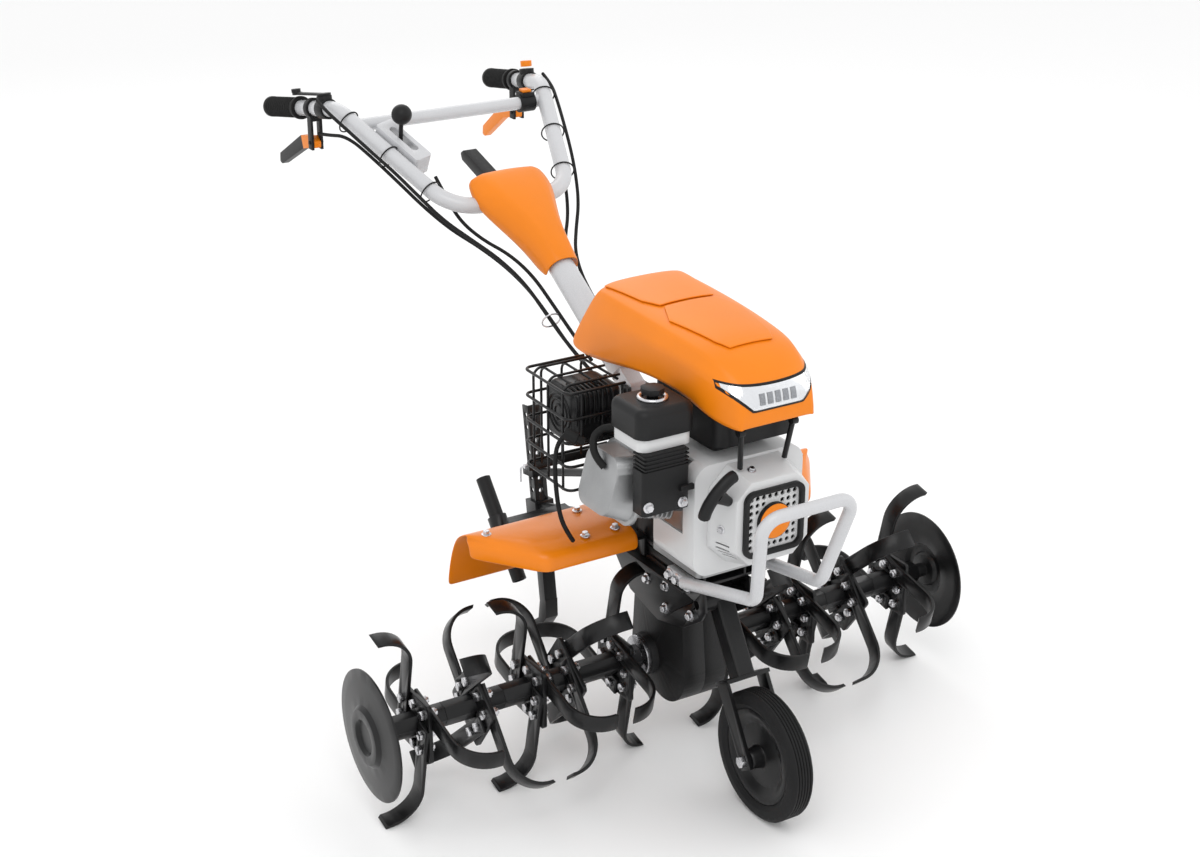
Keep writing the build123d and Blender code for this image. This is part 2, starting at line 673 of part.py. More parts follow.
def hood_solid(stations, inset, drop):
    """The bonnet's outer body, or its hollow when inset and dropped."""
    with BuildPart() as made:
        for y, low_x, low_z, waist_x, waist_z, top_x, top_z in stations:
            with BuildSketch(Plane(origin=(0, y, 0), x_dir=(1, 0, 0), z_dir=(0, -1, 0))):
                with BuildLine():
                    corners = [(low_x - inset, low_z - drop), (waist_x - inset, waist_z)]
                    corners += [(top_x - inset * 0.7, top_z - inset)]
                    Polyline(*corners, *[(-x, z) for x, z in reversed(corners)], close=True)
                make_face()
        loft(ruled=True)
    return made.part


with BuildPart() as hood:
    add(hood_solid(HOOD, 0, 0))
    hollow = [(-139, *HOOD[0][1:]), *HOOD[1:-1], (-555, *HOOD[-1][1:])]
    add(hood_solid(hollow, 3, 30), mode=Mode.SUBTRACT)
    add(side_plate([(-148, 600), (-206, 760), (-100, 760), (-100, 600)], -120, 120), mode=Mode.SUBTRACT)
    add(box(-68, 68, -560, -515, LENS_LOW, LENS_HIGH), mode=Mode.SUBTRACT)
save(hood, "hood")

with BuildPart() as headlight:
    # Clear lens and reflector block in the bonnet's nose.
    add(hood_solid(HOOD[-2:], 1.2, 0) & box(-67.7, 67.7, -560, -530, LENS_LOW + GAP, LENS_HIGH - GAP))
save(headlight, "headlight")

# ---------------------------------------------------------------- fenders
FENDER_SIDE = [(-157, 286), (-171, 345), (-195, 388), (-235, 402), (-300, 398), (-327, 388), (-334, 360)]
FENDER_PLAN = [(-315, -140), (-315, -232), (-238, -345), (-80, -345), (-80, -140)]
with BuildPart() as fender:
    with BuildSketch(Plane.YZ.offset(-315)):
        with BuildLine():
            FilletPolyline(*FENDER_SIDE, radius=12)
        trace(line_width=3)
    extrude(amount=235)
    with BuildSketch(Plane.XY.offset(250)):
        with BuildLine():
            Polyline(*FENDER_PLAN, close=True)
        make_face()
    extrude(amount=200, mode=Mode.INTERSECT)
with BuildPart() as fenders:
    add(both_sides(fender.part))
save(fenders, "fenders")

with BuildPart() as fender_brackets:
    bracket = box(60 + GAP, 300, -240, -218, 388, 393) + box(60 + GAP, 66, -240, -218, 345, 393)
    bracket += box(60 + GAP, 190, -326, -306, 374, 379) + box(60 + GAP, 66, -326, -306, 345, 379)
    add(both_sides(bracket))
save(fender_brackets, "fender_brackets")

# ---------------------------------------------------------------- hitch and stake
STAKE_DIR = Vector(0, sin(radians(STAKE_LEAN)), cos(radians(STAKE_LEAN)))


def stake_at(height):
    """The point of the stake's centre line at a height above the ground."""
    drop = (STAKE_TOP_Z - height) / cos(radians(STAKE_LEAN))
    return Vector(0, STAKE_TOP_Y, STAKE_TOP_Z) - STAKE_DIR * drop


def stake_plane(height):
    """A plane square to the stake."""
    return Plane(origin=stake_at(height), x_dir=(1, 0, 0), z_dir=STAKE_DIR)


SLEEVE_Z = (222.0, 252.0)
TUBE_TOP, TUBE_BOTTOM = Vector(-130, 70, 337), Vector(-130, -50, 200)
with BuildPart() as hitch:
    # Arm from the chassis back to the sleeve that holds the stake, with a stay,
    # and the side socket of the support tube.
    arm_end = stake_at(237) + Vector(0, -14, 0)
    add(rod((0, -178, 322), arm_end, 13))
    add(box(-22, 22, -184, -170, 300, BASE_LOW - GAP))
    for height in (SLEEVE_Z[0], 296.0):
        with BuildSketch(stake_plane(height)):
            Rectangle(36, 34)
        extrude(amount=30 if height < 250 else 12)
    add(bent_tube([(0, stake_at(302).Y - 14, 304), (0, -60, 366), (0, -166, 410)], 7, 40))
    span = TUBE_TOP - TUBE_BOTTOM
    add(rod(TUBE_BOTTOM + span * 0.45, TUBE_BOTTOM + span * 0.62, 16))
    socket = TUBE_BOTTOM + span * 0.53
    add(box(-120, 0, socket.Y - 12, socket.Y + 12, socket.Z - 5, socket.Z + 5))
    add(rod(TUBE_BOTTOM, TUBE_TOP, 12.05), mode=Mode.SUBTRACT)
    with BuildSketch(stake_plane(200)):
        Rectangle(24.6, 20.6)
    extrude(amount=130, mode=Mode.SUBTRACT)
save(hitch, "hitch")

with BuildPart() as drag_stake:
    # Perforated channel with a foot that sweeps back to the ground.
    with BuildSketch(stake_plane(FOOT_Z)):
        Rectangle(24, 20)
        with Locations((0, 3)):
            Rectangle(18, 14, mode=Mode.SUBTRACT)
    extrude(amount=(STAKE_TOP_Z - FOOT_Z) / cos(radians(STAKE_LEAN)))
    foot_top = stake_at(FOOT_Z)
    with BuildSketch(Plane.YZ.offset(-12)):
        with BuildLine():
            Polyline(
                (foot_top.Y - 9.9, foot_top.Z + 12),
                (foot_top.Y + 9.9, foot_top.Z + 9),
                (foot_top.Y + 16, 30),
                (foot_top.Y + 52, 3),
                (foot_top.Y + 50, 0),
                (foot_top.Y + 6, 18),
                (foot_top.Y - 11, 40),
                close=True,
            )
        make_face()
    extrude(amount=24)
    for step in range(7):
        centre = stake_at(270 + step * 22)
        add(rod(centre - Vector(30, 0, 0), centre + Vector(30, 0, 0), 4.3), mode=Mode.SUBTRACT)
        add(rod(centre - Vector(0, 30, 0), centre + Vector(0, 0, 0), 4.3), mode=Mode.SUBTRACT)
save(drag_stake, "drag_stake")

with BuildPart() as stake_pin:
    # Linch pin through the first hole above the upper guide, with its spring wire.
    centre = stake_at(314)
    add(rod(centre - Vector(24, 0, 0), centre + Vector(20, 0, 0), 4.0))
    add(bent_tube([centre + Vector(-23, 0, 0), centre + Vector(-23, 14, -8), centre + Vector(-23, 14, -34)], 1.6, 5))
save(stake_pin, "stake_pin")

with BuildPart() as support_tube:
    add(rod(TUBE_BOTTOM, TUBE_TOP, 12, 9.5))
save(support_tube, "support_tube")

# ---------------------------------------------------------------- column and head
UP_COLUMN = Vector(0, cos(radians(COLUMN_RISE)), sin(radians(COLUMN_RISE)))


def column_point(x, distance, height):
    """A point beside the column: x across, distance up it, height above its line."""
    above = Vector(0, -UP_COLUMN.Z, UP_COLUMN.Y)
    return Vector(x, PIVOT_Y, PIVOT_Z) + UP_COLUMN * distance + above * height


def column_plane(distance):
    """A plane square to the column; local y points to its upper side."""
    return Plane(origin=column_point(0, distance, 0), x_dir=(-1, 0, 0), z_dir=UP_COLUMN)


with BuildPart() as swivel_head:
    add(rod((0, PIVOT_Y, 509), (0, PIVOT_Y, 522), 10))
    add(rod((0, PIVOT_Y, 520 + GAP), (0, PIVOT_Y, 530), 24))
    EAR = [(PIVOT_Y - 16, 528), (PIVOT_Y + 16, 528), (PIVOT_Y + 14, 566), (PIVOT_Y - 14, 566)]
    add(both_sides(side_plate(EAR, 14, 20)))
    add(rod((-26, PIVOT_Y, PIVOT_Z), (26, PIVOT_Y, PIVOT_Z), 6))
save(swivel_head, "swivel_head")

COLUMN_END = 410.0
with BuildPart() as column:
    add(rod((-13.6, PIVOT_Y, PIVOT_Z), (13.6, PIVOT_Y, PIVOT_Z), 17))
    with BuildSketch(column_plane(4)):
        Rectangle(27.2, 32)
    extrude(amount=40)
    with BuildSketch(column_plane(34)):
        Circle(COLUMN_R)
    extrude(amount=COLUMN_END - 34)
    with BuildSketch(column_plane(50)):
        Circle(COLUMN_R - 2.5)
    extrude(amount=COLUMN_END, mode=Mode.SUBTRACT)
    add(rod((-20, PIVOT_Y, PIVOT_Z), (20, PIVOT_Y, PIVOT_Z), 6.05), mode=Mode.SUBTRACT)
save(column, "column")

# ---------------------------------------------------------------- handlebar
def flip(point):
    """The matching point on the other side."""
    return (-point[0], point[1], point[2])


def on_grip(side, y):
    """A point on the grip's straight line at a station along the machine."""
    share = (y - ARM_TOP[1]) / (GRIP_END[1] - ARM_TOP[1])
    x = ARM_TOP[0] + share * (GRIP_END[0] - ARM_TOP[0])
    z = ARM_TOP[2] + share * (GRIP_END[2] - ARM_TOP[2])
    return Vector(side * x, y, z)


def bar_plane(side, y, turn=0.0):
    """A plane on the grip's line whose z points up from the bar and x along it."""
    along = (Vector(*GRIP_END) - Vector(*ARM_TOP)).normalized()
    along = Vector(side * along.X, along.Y, along.Z)
    up = (Vector(0, 0, 1) - along * along.Z).normalized()
    return Plane(origin=on_grip(side, y), x_dir=along, z_dir=up).rotated((0, 0, turn))


def on_arm(side, y):
    """A point on the rising arm's straight line."""
    share = (y - ARM_LOW[1]) / (ARM_TOP[1] - ARM_LOW[1])
    x = ARM_LOW[0] + share * (ARM_TOP[0] - ARM_LOW[0])
    z = ARM_LOW[2] + share * (ARM_TOP[2] - ARM_LOW[2])
    return Vector(side * x, y, z)


CROSS_Y, CROSS_Z = 404.0, 864.5
BAR = [flip(GRIP_END), flip(ARM_TOP), flip(ARM_LOW), ARM_LOW, ARM_TOP, GRIP_END]
with BuildPart() as handlebar:
    add(bent_tube(BAR, TUBE_R, 72, TUBE_R - 2))
    add(rod((-180, CROSS_Y, CROSS_Z), (180, CROSS_Y, CROSS_Z), 11))
    # Saddle that joins the bar to the head of the column.
    with BuildSketch(column_plane(COLUMN_END + GAP)):
        with Locations((0, -10)):
            RectangleRounded(44, 52, 6)
    extrude(amount=40)
    # Two ears behind the lower run, which carry the swivel lever's pin.
    LEVER_EAR = [(204, 757), (205, 765), (224, 781), (238, 781), (238, 769), (228, 766)]
    add(both_sides(side_plate(LEVER_EAR, 12.4, 15.4)))
    add(rod((-20, *LEVER_PIVOT), (20, *LEVER_PIVOT), 4.05), mode=Mode.SUBTRACT)
save(handlebar, "handlebar")

with BuildPart() as grips:
    for side in (-1, 1):
        add(rod(on_grip(side, 566), on_grip(side, 662), 16.5, TUBE_R + 0.02))
        add(rod(on_grip(side, 560), on_grip(side, 566), 20, TUBE_R + 0.02))
        add(rod(on_grip(side, 659), on_grip(side, 668), 18))
        add(rod(on_grip(side, 655), on_grip(side, 663.2), TUBE_R + 0.02), mode=Mode.SUBTRACT)
save(grips, "grips")

# Pivot of each hand lever: side, and its place along the machine and above ground
CLUTCH_PIVOT = (-1, 520.0, 816.0)
REVERSE_PIVOT = (1, 548.0, 812.0)
THROTTLE_Y, STOP_Y = 476.0, 496.0

with BuildPart() as control_brackets:
    # Collars on the bar that carry the levers, the throttle and the stop switch.
    for side, lever_y, lever_z in (CLUTCH_PIVOT, REVERSE_PIVOT):
        add(rod(on_grip(side, lever_y - 8), on_grip(side, lever_y + 3), 18, TUBE_R + 0.05))
        bar_z = on_grip(side, lever_y).Z
        for offset in (-10.5, 6.5):
            x0 = side * CONTROL_X + offset
            add(box(x0, x0 + 4, lever_y - 13, lever_y + 3, lever_z - 12, bar_z))
        x0 = side * CONTROL_X
        add(box(x0 - 10.5, x0 + 10.5, lever_y - 13, lever_y + 3, bar_z - 20, bar_z))
        add(rod((x0 - 13, lever_y - 5, lever_z), (x0 + 13, lever_y - 5, lever_z), 3))
    for side, seat_y in ((-1, THROTTLE_Y), (1, STOP_Y)):
        add(rod(on_grip(side, seat_y - 12), on_grip(side, seat_y + 10), 17.5, TUBE_R + 0.05))
        with BuildSketch(bar_plane(side, seat_y).offset(14)):
            Circle(13)
        extrude(amount=8)
    for side in (-1, 1):
        add(rod(on_grip(side, 455), on_grip(side, 562), TUBE_R + 0.05), mode=Mode.SUBTRACT)
    add(rod((132, CROSS_Y, CROSS_Z), (160, CROSS_Y, CROSS_Z), 16, 11.05))
    add(box(134, 158, CROSS_Y - 12, CROSS_Y + 12, CROSS_Z + 12, CROSS_Z + 19))
    add(rod((125, CROSS_Y, CROSS_Z), (165, CROSS_Y, CROSS_Z), 11.05), mode=Mode.SUBTRACT)
save(control_brackets, "control_brackets")


def hand_lever(side, pivot_y, pivot_z, reach):
    """A hooked hand lever under the grip, hung on its bracket's pin."""
    outline = [
        (pivot_y - 14, pivot_z + 2),
        (pivot_y + 2, pivot_z + 10),
        (pivot_y + 46, pivot_z + 2),
        (pivot_y + reach, pivot_z - 52),
        (pivot_y + reach + 2, pivot_z - 68),
        (pivot_y + reach - 8, pivot_z - 70),
        (pivot_y + 38, pivot_z - 20),
        (pivot_y - 2, pivot_z - 10),
        (pivot_y - 13, pivot_z - 9),
    ]
    with BuildPart() as made:
        add(side_plate(outline, side * CONTROL_X - 6, side * CONTROL_X + 6))
        fillet(made.edges().filter_by(Axis.X), radius=3.5)
        pin = (side * CONTROL_X, pivot_y - 5, pivot_z)
        add(rod(Vector(*pin) - Vector(9, 0, 0), Vector(*pin) + Vector(9, 0, 0), 3.05), mode=Mode.SUBTRACT)
    return made


save(hand_lever(*CLUTCH_PIVOT, 146), "clutch_lever")
save(hand_lever(*REVERSE_PIVOT, 118), "reverse_lever")

with BuildPart() as throttle_lever:
    # Thumb lever that lies along the top of the bar.
    seat = bar_plane(-1, THROTTLE_Y).offset(22 + GAP)
    with BuildSketch(seat):
        Circle(12)
        with Locations((46, 0)):
            Rectangle(92, 10)
        with Locations((94, 0)):
            Circle(9)
    extrude(amount=4)
    with BuildSketch(seat.offset(4)):
        with Locations((98, 0)):
            Circle(8)
    extrude(amount=6)
save(throttle_lever, "throttle_lever")

with BuildPart() as stop_button:
    with BuildSketch(bar_plane(1, STOP_Y).offset(26)):
        Circle(10)
    extrude(amount=10)
save(stop_button, "stop_button")

with BuildPart() as light_switch:
    add(box(138, 154, CROSS_Y - 8, CROSS_Y + 8, CROSS_Z + 19 + GAP, CROSS_Z + 24))
save(light_switch, "light_switch")

# Gear shift box on the inner side of the left arm
ARM_DIRECTION = (on_arm(-1, 430) - on_arm(-1, 200)).normalized()
BOX_ACROSS = (Vector(1, 0, 0) - ARM_DIRECTION * Vector(1, 0, 0).dot(ARM_DIRECTION)).normalized()
BOX_UP = BOX_ACROSS.cross(ARM_DIRECTION)
BOX_PLANE = Plane(origin=on_arm(-1, 328), x_dir=BOX_ACROSS, z_dir=BOX_UP)


def in_box(across, along, up):
    """A point given in the shift box's own directions."""
    return BOX_PLANE.from_local_coords(Vector(across, along, up))


with BuildPart() as shift_box:
    with BuildSketch(BOX_PLANE.offset(-20)):
        with Locations((32, 0)):
            RectangleRounded(34, 104, 5)
    extrude(amount=36)
    with BuildSketch(BOX_PLANE.offset(-21)):
        with Locations((32, 0)):
            Rectangle(29, 99)
    extrude(amount=34, mode=Mode.SUBTRACT)
    with BuildSketch(BOX_PLANE.offset(0)):
        with Locations((34, 2)):
            SlotOverall(66, 13, rotation=90)
    extrude(amount=20, mode=Mode.SUBTRACT)
save(shift_box, "shift_box")

SHIFT_FOOT, SHIFT_KNOB = in_box(34, 4, -14), Vector(-127, 333, 892)
with BuildPart() as shift_lever:
    add(rod(SHIFT_FOOT, SHIFT_KNOB, 3.6))
    add(rod(in_box(26, 4, -14), in_box(42, 4, -14), 5))
    with Locations(Location(SHIFT_KNOB)):
        Sphere(17)
save(shift_lever, "shift_lever")

# ---------------------------------------------------------------- console cover
# Each station: distance up the column, half width, lower edge, top, top half width.
CONSOLE = (
    (252, 29, -20, 28, 18),
    (330, 36, -22, 30, 24),
    (392, 56, -24, 29, 40),
    (440, 73, -22, 24, 54),
    (472, 68, -6, 12, 54),
)


def console_solid(stations, inset, drop):
    """The console cover's body, or its hollow when inset and dropped."""
    with BuildPart() as made:
        for distance, half, low, top, top_half in stations:
            with BuildSketch(column_plane(distance)):
                with BuildLine():
                    corners = [(half - inset, low - drop), (half - inset, (low + top) / 2)]
                    corners += [(top_half - inset * 0.7, top - inset)]
                    Polyline(*corners, *[(-x, h) for x, h in reversed(corners)], close=True)
                make_face()
        loft(ruled=True)
    return made.part


with BuildPart() as console_cover:
    add(console_solid(CONSOLE, 0, 0))
    hollow = [(251, *CONSOLE[0][1:]), *CONSOLE[1:-1], (469, *CONSOLE[-1][1:])]
    add(console_solid(hollow, 3, 40), mode=Mode.SUBTRACT)
    # Notches that let the handlebar's cross tube and the swivel lever through.
    add(bent_tube(BAR, TUBE_R + 1.5, 72), mode=Mode.SUBTRACT)
    with BuildSketch(column_plane(462)):
        with Locations((0, -20)):
            Rectangle(34, 50)
    extrude(amount=14, mode=Mode.SUBTRACT)
save(console_cover, "console_cover")

with BuildPart() as swivel_lever:
    # Flat lever behind the cover that frees the column's swivel.
    LEVER = [(226, 768), (226, 780), (266, 793), (338, 815), (349, 808), (344, 797), (278, 776)]
    add(side_plate(LEVER, -12, 12))
    fillet(swivel_lever.edges().filter_by(Axis.X), radius=3.5)
    add(rod((-16, *LEVER_PIVOT), (16, *LEVER_PIVOT), 4))
save(swivel_lever, "swivel_lever")

# ---------------------------------------------------------------- control cables
# Each cable: its route from the control to the column's foot.
CABLE_R = 3.0
CABLES = (
    # clutch cable, under the left arm
    (
        (-205, 500, 834), (-203, 468, 838), (-190, 415, 846), (-170, 350, 816), (-152, 296, 786),
        (-134, 246, 756), (-112, 196, 728), (-84, 150, 706), (-62, 100, 682), (-48, 45, 654),
        (-42, -12, 620), (-38, -70, 586), (-32, -120, 566),
    ),
    # throttle cable, outside it
    (
        (-219, 466, 900), (-222, 430, 892), (-206, 386, 868), (-186, 334, 838), (-168, 284, 812),
        (-150, 238, 782), (-128, 192, 748), (-100, 150, 722), (-74, 104, 698), (-56, 50, 668),
        (-50, -8, 632), (-45, -66, 598), (-38, -118, 574),
    ),
    # shift cable, from the foot of the shift box
    (
        (-104, 262, 800), (-98, 236, 770), (-92, 200, 738), (-76, 154, 716), (-52, 108, 700),
        (-38, 56, 676), (-33, 0, 642), (-30, -56, 610), (-27, -108, 582),
    ),
    # reverse cable, under the right arm
    (
        (205, 528, 830), (206, 494, 838), (196, 440, 850), (176, 372, 824), (156, 308, 790),
        (138, 252, 756), (116, 206, 716), (86, 166, 690), (60, 118, 676), (46, 62, 656),
        (40, 6, 626), (36, -50, 594), (32, -102, 570),
    ),
    # wire of the stop switch, outside it
    (
        (224, 479, 892), (222, 444, 880), (206, 396, 862), (188, 342, 834), (170, 290, 806),
        (152, 242, 774), (132, 198, 736), (104, 160, 704), (76, 116, 682), (56, 62, 660),
        (49, 4, 630), (43, -52, 600), (38, -104, 576),
    ),
)


def corner_radii(points):
    """The bend at each corner: as large as its two runs allow."""
    spots = [Vector(*point) for point in points]
    for before, here, after in zip(spots[:-2], spots[1:-1], spots[2:]):
        short = min((here - before).length, (after - here).length)
        yield 0.45 * short / tan(radians((here - before).get_angle(after - here) / 2))


with BuildPart() as control_cables:
    for route in CABLES:
        radii = list(corner_radii(route))
        cable = bent_tube(route, CABLE_R, radii)
        add(cable)
        print("cable", round(cable.volume / (pi * CABLE_R**2)), "mm, tightest bend", round(min(radii)))
save(control_cables, "control_cables")
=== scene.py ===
import json
import math

import bpy
from mathutils import Matrix, Vector


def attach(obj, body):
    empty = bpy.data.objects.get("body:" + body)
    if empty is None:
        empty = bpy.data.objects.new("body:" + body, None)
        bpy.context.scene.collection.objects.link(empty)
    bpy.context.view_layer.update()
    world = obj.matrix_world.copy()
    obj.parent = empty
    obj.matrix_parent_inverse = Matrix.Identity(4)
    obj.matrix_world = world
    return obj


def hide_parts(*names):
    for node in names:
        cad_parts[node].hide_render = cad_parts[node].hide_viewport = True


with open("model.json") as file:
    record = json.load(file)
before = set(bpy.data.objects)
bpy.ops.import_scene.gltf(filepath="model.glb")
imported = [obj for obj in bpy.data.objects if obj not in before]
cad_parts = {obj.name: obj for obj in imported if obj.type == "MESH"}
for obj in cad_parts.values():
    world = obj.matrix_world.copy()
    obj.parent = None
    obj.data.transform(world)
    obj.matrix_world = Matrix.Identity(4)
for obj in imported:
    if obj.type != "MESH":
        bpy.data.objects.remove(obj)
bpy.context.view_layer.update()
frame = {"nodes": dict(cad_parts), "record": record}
NODES = frame["nodes"]
MM = 0.001


# ------------------------------------------------------------------ materials
CLOUD_SCALE = 14.0


def finish_material(name, colour, rough, metallic=0.0, grain=900.0, bump=0.05, vary=0.08, coat=0.0, spec=0.5):
    """A painted, moulded or cast surface: cloudy colour, fine grain in gloss and relief."""
    mat = bpy.data.materials.new(name)
    mat.use_nodes = True
    nodes, links = mat.node_tree.nodes, mat.node_tree.links
    shader = nodes["Principled BSDF"]
    shader.inputs["Metallic"].default_value = metallic
    shader.inputs["Coat Weight"].default_value = coat
    shader.inputs["Specular IOR Level"].default_value = spec
    shader.inputs["Coat Roughness"].default_value = 0.08
    place = nodes.new("ShaderNodeTexCoord")
    clouds = nodes.new("ShaderNodeTexNoise")
    clouds.inputs["Scale"].default_value = CLOUD_SCALE
    clouds.inputs["Detail"].default_value = 6
    grains = nodes.new("ShaderNodeTexNoise")
    grains.inputs["Scale"].default_value = grain
    grains.inputs["Detail"].default_value = 3
    links.new(place.outputs["Object"], clouds.inputs["Vector"])
    links.new(place.outputs["Object"], grains.inputs["Vector"])
    tint = nodes.new("ShaderNodeValToRGB")
    tint.color_ramp.elements[0].position = 0.3
    tint.color_ramp.elements[1].position = 0.7
    tint.color_ramp.elements[0].color = [c * (1 - vary) for c in colour] + [1]
    tint.color_ramp.elements[1].color = [min(1, c * (1 + vary)) for c in colour] + [1]
    links.new(clouds.outputs["Fac"], tint.inputs["Fac"])
    links.new(tint.outputs["Color"], shader.inputs["Base Color"])
    gloss = nodes.new("ShaderNodeMapRange")
    gloss.inputs["To Min"].default_value = max(0.02, rough - 0.07)
    gloss.inputs["To Max"].default_value = min(1, rough + 0.07)
    links.new(grains.outputs["Fac"], gloss.inputs["Value"])
    links.new(gloss.outputs["Result"], shader.inputs["Roughness"])
    relief = nodes.new("ShaderNodeBump")
    relief.inputs["Strength"].default_value = bump
    relief.inputs["Distance"].default_value = 0.0006
    links.new(grains.outputs["Fac"], relief.inputs["Height"])
    links.new(relief.outputs["Normal"], shader.inputs["Normal"])
    return mat


ORANGE = (0.80, 0.212, 0.004)
# Each slot: colour, roughness, then what differs from the defaults.
FINISHES = {
    "orange_paint": (ORANGE, 0.30, {"bump": 0.03, "vary": 0.03, "coat": 0.1, "spec": 0.3}),
    "orange_plastic": (ORANGE, 0.36, {"grain": 1400, "bump": 0.05, "vary": 0.03, "spec": 0.3}),
    "grey_paint": ((0.55, 0.555, 0.57), 0.27, {"bump": 0.03, "vary": 0.03, "coat": 0.2}),
    "white_plastic": ((0.62, 0.625, 0.63), 0.34, {"grain": 1300, "bump": 0.04, "vary": 0.02}),
    "black_plastic": (
        (0.009, 0.009, 0.0095), 0.46, {"grain": 1600, "bump": 0.12, "vary": 0.15, "spec": 0.25}
    ),
    "black_paint": (
        (0.008, 0.008, 0.0085), 0.31, {"grain": 700, "bump": 0.07, "vary": 0.2, "spec": 0.3}
    ),
    "black_rubber": (
        (0.009, 0.009, 0.009), 0.62, {"grain": 1200, "bump": 0.15, "vary": 0.15, "spec": 0.2}
    ),
    "tyre_rubber": (
        (0.010, 0.010, 0.0105), 0.58, {"grain": 800, "bump": 0.15, "vary": 0.2, "spec": 0.2}
    ),
    "cast_aluminium": (
        (0.36, 0.365, 0.37), 0.42, {"metallic": 0.85, "grain": 520, "bump": 0.35, "vary": 0.12}
    ),
    "zinc_steel": (
        (0.66, 0.66, 0.68), 0.28, {"metallic": 1.0, "grain": 600, "bump": 0.06, "vary": 0.1}
    ),
    "steel": ((0.50, 0.50, 0.52), 0.25, {"metallic": 1.0, "grain": 300, "bump": 0.05, "vary": 0.08}),
    "cast_iron": (
        (0.010, 0.010, 0.0105), 0.42, {"grain": 420, "bump": 0.35, "vary": 0.2, "spec": 0.3}
    ),
}
MATERIALS = {
    slot: finish_material(slot, colour, rough, **rest) for slot, (colour, rough, rest) in FINISHES.items()
}
REFLECTOR = finish_material("lamp_reflector", (0.80, 0.81, 0.83), 0.12, 0.9, grain=200, bump=0.01, vary=0.03)
LAMP_CELL = finish_material("lamp_cell", (0.34, 0.35, 0.37), 0.10, 1.0, grain=150, bump=0.01, vary=0.1)

lens = bpy.data.materials.new("clear_lens")
lens.use_nodes = True
lens_shader = lens.node_tree.nodes["Principled BSDF"]
lens_shader.inputs["Base Color"].default_value = (0.95, 0.97, 1.0, 1)
lens_shader.inputs["Transmission Weight"].default_value = 0.95
lens_shader.inputs["IOR"].default_value = 1.3
lens_shader.inputs["Alpha"].default_value = 0.28
lens_wave = lens.node_tree.nodes.new("ShaderNodeTexNoise")
lens_wave.inputs["Scale"].default_value = 60
lens_gloss = lens.node_tree.nodes.new("ShaderNodeMapRange")
lens_gloss.inputs["To Min"].default_value = 0.02
lens_gloss.inputs["To Max"].default_value = 0.08
lens.node_tree.links.new(lens_wave.outputs["Fac"], lens_gloss.inputs["Value"])
lens.node_tree.links.new(lens_gloss.outputs["Result"], lens_shader.inputs["Roughness"])
MATERIALS["clear_lens"] = lens

# Every CAD node takes its slot's material, smooth shading and a fine edge round.
SLOT_OF = {entry["node"]: entry["material_slot"] for entry in frame["record"]["subparts"]}
for name, node in NODES.items():
    node.data.materials.clear()
    node.data.materials.append(MATERIALS[SLOT_OF[name]])
    node.data.shade_smooth()
    weld = node.modifiers.new("weld", "WELD")
    weld.merge_threshold = 0.00002
    bevel = node.modifiers.new("edge_round", "BEVEL")
    bevel.width = 0.7 * MM
    bevel.segments = 2
    bevel.limit_method = "ANGLE"
    bevel.angle_limit = math.radians(35)
    bevel.harden_normals = True


# ------------------------------------------------------------------ mesh helpers
def place(piece, body, slot, material=None):
    """Gives a new piece the material of its slot, or the one given, and the body it rides on."""
    piece.data.materials.append(material or MATERIALS[slot])
    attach(piece, body)
    return piece


def mesh_piece(name, points, faces, smooth=True):
    """A mesh object from points in millimetres."""
    mesh = bpy.data.meshes.new(name)
    mesh.from_pydata([Vector(p) * MM for p in points], [], faces)
    if smooth:
        mesh.shade_smooth()
    piece = bpy.data.objects.new(name, mesh)
    bpy.context.scene.collection.objects.link(piece)
    return piece


def grid_faces(rows, columns):
    """Quads between the rows of a grid of points."""
    return [
        (r * columns + c, r * columns + c + 1, (r + 1) * columns + c + 1, (r + 1) * columns + c)
        for r in range(rows - 1)
        for c in range(columns - 1)
    ]


def skin(name, rows, thickness, levels=2, creases=(), smooth=True):
    """A shell through rows of points; creases lists the columns that stay sharp."""
    columns = len(rows[0])
    piece = mesh_piece(name, [p for row in rows for p in row], grid_faces(len(rows), columns), smooth)
    if creases:
        crease = piece.data.attributes.new("crease_edge", "FLOAT", "EDGE")
        sharp = dict(creases)
        for index, edge in enumerate(piece.data.edges):
            first, second = edge.vertices
            if first % columns == second % columns:
                crease.data[index].value = sharp.get(first % columns, 0.0)
    if thickness:
        solid = piece.modifiers.new("thickness", "SOLIDIFY")
        solid.thickness = thickness * MM
        solid.offset = -1
    smoother = piece.modifiers.new("smoother", "SUBSURF")
    smoother.levels = smoother.render_levels = levels
    return piece


def tube(name, route, radius, resolution=6, order=3):
    """A round cord along a smooth line through given points, in millimetres."""
    curve = bpy.data.curves.new(name, "CURVE")
    curve.dimensions = "3D"
    curve.bevel_depth = radius * MM
    curve.bevel_resolution = 3
    curve.use_fill_caps = True
    spline = curve.splines.new("NURBS")
    spline.points.add(len(route) - 1)
    for point, where in zip(spline.points, route):
        point.co = (*(Vector(where) * MM), 1)
    spline.order_u = order
    spline.use_endpoint_u = True
    spline.resolution_u = resolution
    piece = bpy.data.objects.new(name, curve)
    bpy.context.scene.collection.objects.link(piece)
    return piece


